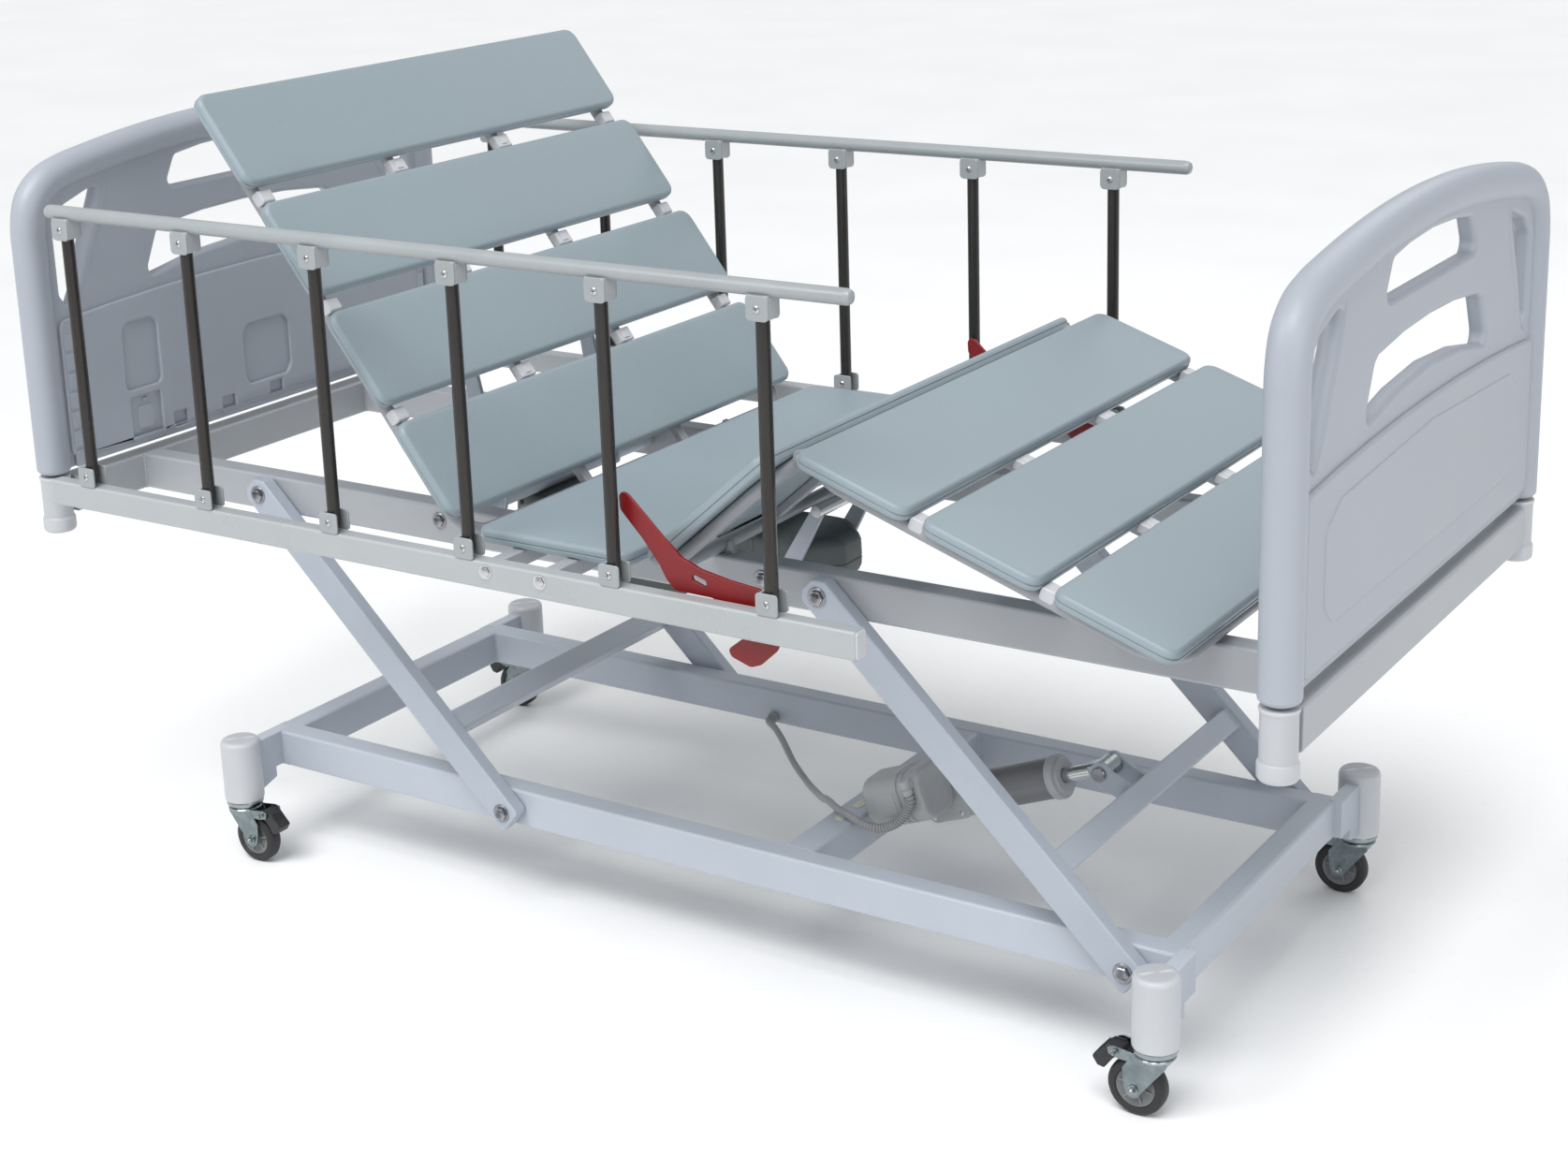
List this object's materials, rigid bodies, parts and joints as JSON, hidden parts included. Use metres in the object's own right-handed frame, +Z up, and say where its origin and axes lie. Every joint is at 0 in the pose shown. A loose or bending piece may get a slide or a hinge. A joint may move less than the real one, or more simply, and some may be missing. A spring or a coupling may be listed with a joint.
{
  "type": "adjustable hospital bed",
  "caption": "Profiling bed on castors: slatted deck that folds under head and knees, folding side guards, moulded end boards, lift arms with a linear actuator.",
  "frame": {"origin": "on the floor, under the middle of the bed's outline", "axes": "+X towards the foot end (longest extent), +Z up, +Y towards the occupant's left side when lying on the back"},
  "size_m": [2.144, 1.059, 1.2764],
  "materials": {
    "base_paint": "semi-gloss blue-grey powder coat",
    "frame_paint": "semi-gloss light grey powder coat",
    "guard_paint": "semi-gloss off-white powder coat",
    "red_paint": "gloss red coat",
    "post_steel": "dark polished stainless tube",
    "rod_steel": "ground piston rod",
    "zinc": "bright zinc plate",
    "motor_plastic": "moulded mid-grey housing",
    "drive_plastic": "moulded dark green-grey housing",
    "slat_plastic": "moulded blue-grey, fine satin",
    "board_plastic": "blow-moulded satin grey",
    "white_plastic": "moulded off-white",
    "black_plastic": "moulded black",
    "tyre_rubber": "black tread on a grey hub",
    "cable_rubber": "mid-grey sheath"
  },
  "bodies": {
    "base": {"base_frame": "base_paint", "actuator_cable": "cable_rubber"},
    "head_arms": {"head_lift_arms": "base_paint"},
    "foot_arms": {"foot_lift_arms": "base_paint"},
    "upper_frame": {"upper_frame": "frame_paint", "seat_slat": "slat_plastic", "deck_drive": "drive_plastic", "guard_rail_right": "guard_paint", "guard_rail_left": "guard_paint", "corner_socket_head_right": "white_plastic", "corner_socket_head_left": "white_plastic", "corner_socket_foot_right": "white_plastic", "corner_socket_foot_left": "white_plastic"},
    "actuator_body": {"height_actuator_body": "motor_plastic"},
    "actuator_rod": {"height_actuator_rod": "rod_steel"},
    "backrest": {"backrest_frame": "frame_paint", "backrest_slat_1": "slat_plastic", "backrest_slat_2": "slat_plastic", "backrest_slat_3": "slat_plastic", "backrest_slat_4": "slat_plastic"},
    "backrest_lever": {"backrest_lift_lever": "base_paint"},
    "thigh": {"thigh_frame": "frame_paint", "thigh_slat": "slat_plastic"},
    "calf": {"calf_frame": "frame_paint", "calf_slat_1": "slat_plastic", "calf_slat_2": "slat_plastic", "calf_slat_3": "slat_plastic"},
    "knee_lever": {"knee_lift_lever": "base_paint"},
    "headboard": {"headboard": "board_plastic"},
    "footboard": {"footboard": "board_plastic"},
    "guard_post_right_1": {"guard_post_right_1": "post_steel"},
    "guard_post_right_2": {"guard_post_right_2": "post_steel"},
    "guard_post_right_3": {"guard_post_right_3": "post_steel"},
    "guard_post_right_4": {"guard_post_right_4": "post_steel"},
    "guard_post_right_5": {"guard_post_right_5": "post_steel"},
    "guard_post_right_6": {"guard_post_right_6": "post_steel"},
    "guard_top_right": {"guard_top_right": "guard_paint"},
    "guard_latch_right": {"guard_latch_right": "red_paint"},
    "guard_post_left_1": {"guard_post_left_1": "post_steel"},
    "guard_post_left_2": {"guard_post_left_2": "post_steel"},
    "guard_post_left_3": {"guard_post_left_3": "post_steel"},
    "guard_post_left_4": {"guard_post_left_4": "post_steel"},
    "guard_post_left_5": {"guard_post_left_5": "post_steel"},
    "guard_post_left_6": {"guard_post_left_6": "post_steel"},
    "guard_top_left": {"guard_top_left": "guard_paint"},
    "guard_latch_left": {"guard_latch_left": "red_paint"},
    "castor_swivel_head_right": {"castor_fork_head_right": "zinc"},
    "castor_wheel_head_right": {"castor_wheel_head_right": "tyre_rubber"},
    "castor_brake_head_right": {"castor_brake_head_right": "black_plastic"},
    "castor_swivel_head_left": {"castor_fork_head_left": "zinc"},
    "castor_wheel_head_left": {"castor_wheel_head_left": "tyre_rubber"},
    "castor_brake_head_left": {"castor_brake_head_left": "black_plastic"},
    "castor_swivel_foot_right": {"castor_fork_foot_right": "zinc"},
    "castor_wheel_foot_right": {"castor_wheel_foot_right": "tyre_rubber"},
    "castor_brake_foot_right": {"castor_brake_foot_right": "black_plastic"},
    "castor_swivel_foot_left": {"castor_fork_foot_left": "zinc"},
    "castor_wheel_foot_left": {"castor_wheel_foot_left": "tyre_rubber"},
    "castor_brake_foot_left": {"castor_brake_foot_left": "black_plastic"}
  },
  "joints": [
    {"name": "bed_height", "type": "hinge", "parent": "base", "child": "head_arms", "pos_m": [-0.276, 0, 0.163], "axis": [0, 1, 0], "range_deg": [-12, 20]},
    {"name": "foot_arms_lift", "type": "hinge", "parent": "base", "child": "foot_arms", "pos_m": [0.779, 0, 0.163], "axis": [0, 1, 0], "range_deg": [-12, 20]},
    {"name": "upper_frame_level", "type": "hinge", "parent": "head_arms", "child": "upper_frame", "pos_m": [-0.74056, 0, 0.61476], "axis": [0, 1, 0], "range_deg": [-20, 12]},
    {"name": "actuator_pitch", "type": "hinge", "parent": "base", "child": "actuator_body", "pos_m": [0.285, 0, 0.177], "axis": [0, 1, 0], "range_deg": [-5.3, 3.2]},
    {"name": "actuator_stroke", "type": "slide", "parent": "actuator_body", "child": "actuator_rod", "axis": [0.932, 0, 0.3625], "range_m": [-0.0412, 0.0684]},
    {"name": "backrest_tilt", "type": "hinge", "parent": "upper_frame", "child": "backrest", "pos_m": [-0.219, 0, 0.6505], "axis": [0, 1, 0], "range_deg": [-52.7, 12]},
    {"name": "backrest_lever_swing", "type": "hinge", "parent": "upper_frame", "child": "backrest_lever", "pos_m": [-0.385, 0, 0.612], "axis": [0, 1, 0], "range_deg": [-77.2, 17.7]},
    {"name": "thigh_tilt", "type": "hinge", "parent": "upper_frame", "child": "thigh", "pos_m": [0.128, 0, 0.6505], "axis": [0, -1, 0], "range_deg": [-41, 0]},
    {"name": "knee_bend", "type": "hinge", "parent": "thigh", "child": "calf", "pos_m": [0.34687, 0, 0.84076], "axis": [0, 1, 0], "range_deg": [-60.1, 0.1]},
    {"name": "knee_lever_swing", "type": "hinge", "parent": "upper_frame", "child": "knee_lever", "pos_m": [0.112, 0, 0.552], "axis": [0, -1, 0], "range_deg": [-24.8, 0.1]},
    {"name": "headboard_lift_off", "type": "slide", "parent": "upper_frame", "child": "headboard", "axis": [0, 0, 1], "range_m": [0, 0.1]},
    {"name": "footboard_lift_off", "type": "slide", "parent": "upper_frame", "child": "footboard", "axis": [0, 0, 1], "range_m": [0, 0.1]},
    {"name": "guard_right_fold", "type": "hinge", "parent": "upper_frame", "child": "guard_post_right_1", "pos_m": [-0.9007, -0.5115, 0.674], "axis": [0, 1, 0], "range_deg": [0, 80]},
    {"name": "guard_right_post_2", "type": "hinge", "parent": "upper_frame", "child": "guard_post_right_2", "pos_m": [-0.6471, -0.5115, 0.674], "axis": [0, 1, 0], "range_deg": [0, 80]},
    {"name": "guard_right_post_3", "type": "hinge", "parent": "upper_frame", "child": "guard_post_right_3", "pos_m": [-0.3935, -0.5115, 0.674], "axis": [0, 1, 0], "range_deg": [0, 80]},
    {"name": "guard_right_post_4", "type": "hinge", "parent": "upper_frame", "child": "guard_post_right_4", "pos_m": [-0.1399, -0.5115, 0.674], "axis": [0, 1, 0], "range_deg": [0, 80]},
    {"name": "guard_right_post_5", "type": "hinge", "parent": "upper_frame", "child": "guard_post_right_5", "pos_m": [0.1137, -0.5115, 0.674], "axis": [0, 1, 0], "range_deg": [0, 80]},
    {"name": "guard_right_post_6", "type": "hinge", "parent": "upper_frame", "child": "guard_post_right_6", "pos_m": [0.3673, -0.5115, 0.674], "axis": [0, 1, 0], "range_deg": [0, 80]},
    {"name": "guard_right_top_level", "type": "hinge", "parent": "guard_post_right_1", "child": "guard_top_right", "pos_m": [-0.9007, -0.5115, 1.07], "axis": [0, 1, 0], "range_deg": [-80, 0]},
    {"name": "guard_right_latch", "type": "hinge", "parent": "upper_frame", "child": "guard_latch_right", "pos_m": [0.335, -0.4906, 0.642], "axis": [0, 1, 0], "range_deg": [0, 8], "stiffness_Nm_per_rad": 6, "springref_deg": -5.73},
    {"name": "guard_left_fold", "type": "hinge", "parent": "upper_frame", "child": "guard_post_left_1", "pos_m": [-0.9007, 0.5115, 0.674], "axis": [0, 1, 0], "range_deg": [0, 80]},
    {"name": "guard_left_post_2", "type": "hinge", "parent": "upper_frame", "child": "guard_post_left_2", "pos_m": [-0.6471, 0.5115, 0.674], "axis": [0, 1, 0], "range_deg": [0, 80]},
    {"name": "guard_left_post_3", "type": "hinge", "parent": "upper_frame", "child": "guard_post_left_3", "pos_m": [-0.3935, 0.5115, 0.674], "axis": [0, 1, 0], "range_deg": [0, 80]},
    {"name": "guard_left_post_4", "type": "hinge", "parent": "upper_frame", "child": "guard_post_left_4", "pos_m": [-0.1399, 0.5115, 0.674], "axis": [0, 1, 0], "range_deg": [0, 80]},
    {"name": "guard_left_post_5", "type": "hinge", "parent": "upper_frame", "child": "guard_post_left_5", "pos_m": [0.1137, 0.5115, 0.674], "axis": [0, 1, 0], "range_deg": [0, 80]},
    {"name": "guard_left_post_6", "type": "hinge", "parent": "upper_frame", "child": "guard_post_left_6", "pos_m": [0.3673, 0.5115, 0.674], "axis": [0, 1, 0], "range_deg": [0, 80]},
    {"name": "guard_left_top_level", "type": "hinge", "parent": "guard_post_left_1", "child": "guard_top_left", "pos_m": [-0.9007, 0.5115, 1.07], "axis": [0, 1, 0], "range_deg": [-80, 0]},
    {"name": "guard_left_latch", "type": "hinge", "parent": "upper_frame", "child": "guard_latch_left", "pos_m": [0.335, 0.4906, 0.642], "axis": [0, 1, 0], "range_deg": [0, 8], "stiffness_Nm_per_rad": 6, "springref_deg": -5.73},
    {"name": "swivel_head_right", "type": "hinge", "parent": "base", "child": "castor_swivel_head_right", "pos_m": [-0.776, -0.374, 0.0965], "axis": [0, 0, 1], "continuous": true},
    {"name": "wheel_head_right", "type": "hinge", "parent": "castor_swivel_head_right", "child": "castor_wheel_head_right", "pos_m": [-0.752, -0.374, 0.041], "axis": [0, 1, 0], "continuous": true},
    {"name": "brake_head_right", "type": "hinge", "parent": "castor_swivel_head_right", "child": "castor_brake_head_right", "pos_m": [-0.758, -0.374, 0.0855], "axis": [0, 1, 0], "range_deg": [0, 6]},
    {"name": "swivel_head_left", "type": "hinge", "parent": "base", "child": "castor_swivel_head_left", "pos_m": [-0.776, 0.374, 0.0965], "axis": [0, 0, 1], "continuous": true},
    {"name": "wheel_head_left", "type": "hinge", "parent": "castor_swivel_head_left", "child": "castor_wheel_head_left", "pos_m": [-0.8, 0.374, 0.041], "axis": [0, 1, 0], "continuous": true},
    {"name": "brake_head_left", "type": "hinge", "parent": "castor_swivel_head_left", "child": "castor_brake_head_left", "pos_m": [-0.794, 0.374, 0.0855], "axis": [0, -1, 0], "range_deg": [0, 6]},
    {"name": "swivel_foot_right", "type": "hinge", "parent": "base", "child": "castor_swivel_foot_right", "pos_m": [0.852, -0.374, 0.0965], "axis": [0, 0, 1], "continuous": true},
    {"name": "wheel_foot_right", "type": "hinge", "parent": "castor_swivel_foot_right", "child": "castor_wheel_foot_right", "pos_m": [0.828, -0.374, 0.041], "axis": [0, 1, 0], "continuous": true},
    {"name": "brake_foot_right", "type": "hinge", "parent": "castor_swivel_foot_right", "child": "castor_brake_foot_right", "pos_m": [0.834, -0.374, 0.0855], "axis": [0, -1, 0], "range_deg": [0, 6]},
    {"name": "swivel_foot_left", "type": "hinge", "parent": "base", "child": "castor_swivel_foot_left", "pos_m": [0.852, 0.374, 0.0965], "axis": [0, 0, 1], "continuous": true},
    {"name": "wheel_foot_left", "type": "hinge", "parent": "castor_swivel_foot_left", "child": "castor_wheel_foot_left", "pos_m": [0.828, 0.374, 0.041], "axis": [0, 1, 0], "continuous": true},
    {"name": "brake_foot_left", "type": "hinge", "parent": "castor_swivel_foot_left", "child": "castor_brake_foot_left", "pos_m": [0.834, 0.374, 0.0855], "axis": [0, -1, 0], "range_deg": [0, 6]}
  ],
  "couplings": [
    {"joint": "foot_arms_lift", "follows": "bed_height", "ratio": 1},
    {"joint": "upper_frame_level", "follows": "bed_height", "ratio": -1},
    {"joint": "actuator_pitch", "follows": "bed_height", "ratio": -0.26},
    {"joint": "actuator_stroke", "follows": "bed_height", "m_per_rad": 0.19481},
    {"joint": "backrest_lever_swing", "follows": "backrest_tilt", "ratio": 1.461},
    {"joint": "knee_bend", "follows": "thigh_tilt", "ratio": 1.4634},
    {"joint": "knee_lever_swing", "follows": "thigh_tilt", "ratio": 0.6},
    {"joint": "guard_right_post_2", "follows": "guard_right_fold", "ratio": 1},
    {"joint": "guard_right_post_3", "follows": "guard_right_fold", "ratio": 1},
    {"joint": "guard_right_post_4", "follows": "guard_right_fold", "ratio": 1},
    {"joint": "guard_right_post_5", "follows": "guard_right_fold", "ratio": 1},
    {"joint": "guard_right_post_6", "follows": "guard_right_fold", "ratio": 1},
    {"joint": "guard_right_top_level", "follows": "guard_right_fold", "ratio": -1},
    {"joint": "guard_left_post_2", "follows": "guard_left_fold", "ratio": 1},
    {"joint": "guard_left_post_3", "follows": "guard_left_fold", "ratio": 1},
    {"joint": "guard_left_post_4", "follows": "guard_left_fold", "ratio": 1},
    {"joint": "guard_left_post_5", "follows": "guard_left_fold", "ratio": 1},
    {"joint": "guard_left_post_6", "follows": "guard_left_fold", "ratio": 1},
    {"joint": "guard_left_top_level", "follows": "guard_left_fold", "ratio": -1}
  ]
}
